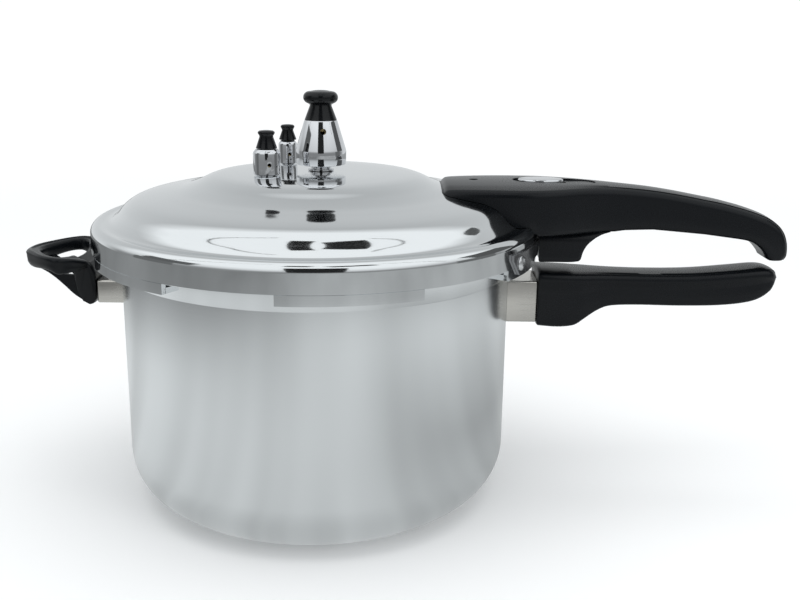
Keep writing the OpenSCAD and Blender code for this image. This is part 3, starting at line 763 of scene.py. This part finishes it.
screw_x, screw_y, screw_line = 153, 9, [(0, 150), (5, 150), (5, 156.6), (2.6, 156.6), (2.6, 180), (0, 180)]
cutters = []
for side in (-screw_y, screw_y):
    bm = bmesh.new()
    turned(bm, in_mm(screw_line), steps=32, centre=(screw_x * mm, side * mm, 0))
    bmesh.ops.recalc_face_normals(bm, faces=bm.faces)
    cutters.append(plain_mesh("screw_hole", bm))
tongue_size, tongue_place = Vector((31, 28.4, 2)), Vector((145.5, 0, 163.3))
bm = bmesh.new()
bmesh.ops.create_cube(bm, size=1)
bmesh.ops.scale(bm, vec=tongue_size * mm, verts=bm.verts)
bmesh.ops.translate(bm, vec=tongue_place * mm, verts=bm.verts)
cutters.append(plain_mesh("tongue_slot", bm))
bm = cut(foot, cutters)
piece("handle_foot", bm, "lid", black_paint, ["lid_handle_foot"], sharp=38,
      fix_normals=False)

# ---- Steam vent and its weight ----------------------------------------------------------------------
# The vent pipe is turned steel, screwed through the middle of the lid. The weight hangs on it: a
# chromed cone with a steam hole, under a black knob that stays cool enough to lift.
vent_x = 2.6 * mm
chrome_paint = metal("turned_chrome", (0.80, 0.81, 0.83), 0.06, 0.04, 2500.0, 0.000001)
bm = bmesh.new()
cone_line = [(3.4, 235.7), (3.4, 209.2), (3.9, 208.8), (14.3, 208.8), (15.1, 209.1), (15.35, 209.8),
             (15.5, 217), (15.3, 218.2), (10.2, 235.2), (9.9, 235.7), (3.4, 235.7)]
turned(bm, in_mm(cone_line), steps=128, centre=(vent_x, 0, 0))
bmesh.ops.recalc_face_normals(bm, faces=bm.faces)
weight = plain_mesh("weight_solid", bm)


def steam_hole(centre, r, height, turn, segments):
    """A level bar from the centre outwards, to drill a hole with, turned from -Y by turn degrees."""
    bm = bmesh.new()
    bmesh.ops.create_cone(bm, cap_ends=True, segments=segments, radius1=r, radius2=r, depth=20 * mm)
    bmesh.ops.rotate(bm, matrix=Matrix.Rotation(math.pi / 2, 3, "X"), verts=bm.verts)
    bmesh.ops.translate(bm, vec=(0, -10 * mm, height), verts=bm.verts)
    bmesh.ops.rotate(bm, matrix=Matrix.Rotation(math.radians(turn), 3, "Z"), verts=bm.verts)
    bmesh.ops.translate(bm, vec=centre, verts=bm.verts)
    return plain_mesh("steam_hole", bm)


bm = cut(weight, [steam_hole((vent_x, 0, 0), 1.75 * mm, 229.6 * mm, 12, 32)])
piece("weight_cone", bm, "weight", chrome_paint, ["weight_body"], sharp=30,
      fix_normals=False)
knob_paint = Paint("knob_black_gloss")
knob_grain = knob_paint.noise(knob_paint.place(), 300.0)
knob_paint.set(Base_Color=(0.0045, 0.005, 0.006, 1), Roughness=0.16 + knob_grain * 0.08,
               Specular_IOR_Level=0.25, Coat_Weight=0.12, Coat_Roughness=0.06)
knob_paint.bump(knob_grain, 0.00002)
bm = bmesh.new()
knob_line = ([(0, 238.2), (3.4, 238.2), (3.4, 235.8), (9.6, 235.8), (9.85, 236.0), (6.7, 244.2),
              (6.6, 244.9), (7.4, 245.5)] + arc(7, 249.3, 3.6, -70, 80, 14)
             + stations([(7, 252.9), (3.5, 253.5), (0, 253.7)], 4))
turned(bm, in_mm(knob_line), steps=96, centre=(vent_x, 0, 0))
piece("weight_knob_top", bm, "weight", knob_paint, ["weight_knob"])
brass_paint = metal("turned_brass", (0.72, 0.56, 0.28), 0.25, 0.05, 1500.0, 0.000002)
repaint(brass_paint, "weight_needle", "safety_valve_stem", "relief_valve_stem", "lock_pin_bush")
bm = bmesh.new()
tube_line = [(1.5, 193), (4.6, 193), (5, 193.4), (5, 205.1), (7.7, 205.1), (8, 205.3), (8, 206),
             (7.7, 206.2), (6.4, 206.2), (6.4, 207.4), (6.1, 207.8), (3, 207.8), (3, 225.6), (2.6, 226),
             (1.5, 226), (1.5, 193)]
turned(bm, in_mm(tube_line), steps=96, centre=(vent_x, 0, 0))
piece("vent_tube", bm, "lid", chrome_paint, ["vent_pipe"])

# ---- The two spring valves --------------------------------------------------------------------------
# Each has a chromed body screwed through the lid, a brass plunger on a coil spring, and a black
# cap on the plunger's stem that is lifted to let steam out by hand.


def spring_valve(name, r, stub, cap_r, top, cap0, cap1, body):
    """One valve: its body of radius r up to top, and its cap from cap0 to cap1, in millimetres."""
    low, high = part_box(name + "_body")
    centre = ((low.x + high.x) / 2, (low.y + high.y) / 2, 0)
    shell = [(1.5, 195), (stub - 0.4, 195), (stub, 195.4), (stub, 205.2), (r - 0.6, 205.2), (r, 205.8),
             (r, top - 2.6), (r - 0.15, top - 1.9), (r - 1.5, top - 0.2), (r - 1.9, top), (1.2, top),
             (1.2, top - 1.6), (r - 1.6, top - 1.6), (r - 1.6, 208), (1.5, 208), (1.5, 195)]
    bm = bmesh.new()
    turned(bm, in_mm(shell), steps=72, centre=centre)
    bmesh.ops.recalc_face_normals(bm, faces=bm.faces)
    solid = plain_mesh(name + "_solid", bm)
    bm = cut(solid, [steam_hole(centre, 1.2 * mm, 211.5 * mm, 18, 24)])
    piece(name + "_shell", bm, "lid", chrome_paint, [name + "_body"], sharp=30,
          fix_normals=False)
    cap = [(0, cap1 - 4), (0.85, cap1 - 4), (0.85, cap0), (cap_r - 0.2, cap0), (cap_r, cap0 + 0.2)]
    cap += [(cap_r * share, cap1 - down) for share, down in
            ((0.64, 3.7), (0.66, 3), (0.76, 2.1), (0.8, 1.5), (0.78, 0.9), (0.66, 0.3), (0.3, 0), (0, 0))]
    bm = bmesh.new()
    turned(bm, in_mm(cap), steps=64, centre=centre)
    piece(name + "_cap", bm, body, knob_paint, [name + "_cap"])
    wire = 0.5 * mm
    low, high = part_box(name + "_spring")
    coil_r = (high.x - low.x) / 2 - wire
    coil_spring(name + "_coil", name + "_spring", centre, coil_r, wire, low.z, high.z, 4.5)


spring_paint = Paint("spring_drawn_wire")
draw_marks = spring_paint.noise(spring_paint.place(), 900.0)
spring_paint.set(Metallic=1.0, Base_Color=(0.5, 0.5, 0.52, 1), Roughness=0.3 + draw_marks * 0.1)


def coil_spring(name, node, centre, coil_r, wire, start, end, turns, along="Z"):
    """A coil from start to end, along Z or turned to lie along X."""
    bm = bmesh.new()
    ring = bmesh.ops.create_circle(bm, segments=8, radius=wire)["verts"]
    bmesh.ops.rotate(bm, matrix=Matrix.Rotation(math.pi / 2, 3, "X"), verts=ring)
    bmesh.ops.translate(bm, vec=(coil_r, 0, start + wire), verts=ring)
    steps = int(turns * 20)
    bmesh.ops.spin(bm, geom=list(bm.edges) + ring, cent=(0, 0, 0), axis=(0, 0, 1), angle=turns * math.tau,
                   steps=steps, dvec=(0, 0, (end - start - 2 * wire) / steps))
    bmesh.ops.holes_fill(bm, edges=[e for e in bm.edges if e.is_boundary], sides=0)
    if along == "X":
        bmesh.ops.rotate(bm, matrix=Matrix.Rotation(math.pi / 2, 3, "Y"), verts=bm.verts)
    bmesh.ops.translate(bm, vec=centre, verts=bm.verts)
    coil = piece(name, bm, "lid", spring_paint, [node])
    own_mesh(coil)


spring_valve("safety_valve", 8.1, 5, 6.3, 220.4, 220.8, 231.3, "safety_plunger")
spring_valve("relief_valve", 6, 4, 5.6, 220, 220.4, 230, "relief_plunger")

# ---- Lock slider -------------------------------------------------------------------------------------
# A chromed oval button lies in the recess on the handle's head. Its neck goes down through a slot
# to a steel bolt, which a spring pushes towards the middle of the lid.
low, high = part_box("slider_button")
slider_x = (low.x + high.x) / 2
half_long, half_wide = (high.x - low.x) / 2, (high.y - low.y) / 2
base_z, thick, neck_r, neck_low = 199.7 * mm, 2.1 * mm, 2.9 * mm, 196.3 * mm
oval = [(half_long * math.cos(t), half_wide * math.sin(t)) for t in [math.tau * i / 96 for i in range(96)]]
levels = [(0.97, 0.0), (1.0, 0.12), (1.0, 0.5), (0.985, 0.72), (0.95, 0.9), (0.88, 0.98), (0.7, 1.0)]
bm = bmesh.new()
lofted(bm, [[(slider_x + a * s, b * s, base_z + thick * h) for a, b in oval] for s, h in levels])
neck_high = base_z + 0.1 * mm
turned(bm, [(0, neck_low), (neck_r, neck_low), (neck_r, neck_high), (0, neck_high)], steps=32,
       centre=(slider_x, 0, 0))
piece("lock_button", bm, "lock_slider", chrome_paint, ["slider_button"])
low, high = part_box("slider_spring")
slide, wire, coil_r = 8 * mm, 0.4 * mm, 1.9 * mm
coil_spring("slider_coil", "slider_spring", (low.x, 0, (low.z + high.z) / 2), coil_r, wire, 0.0,
            high.x - low.x, 7, along="X")
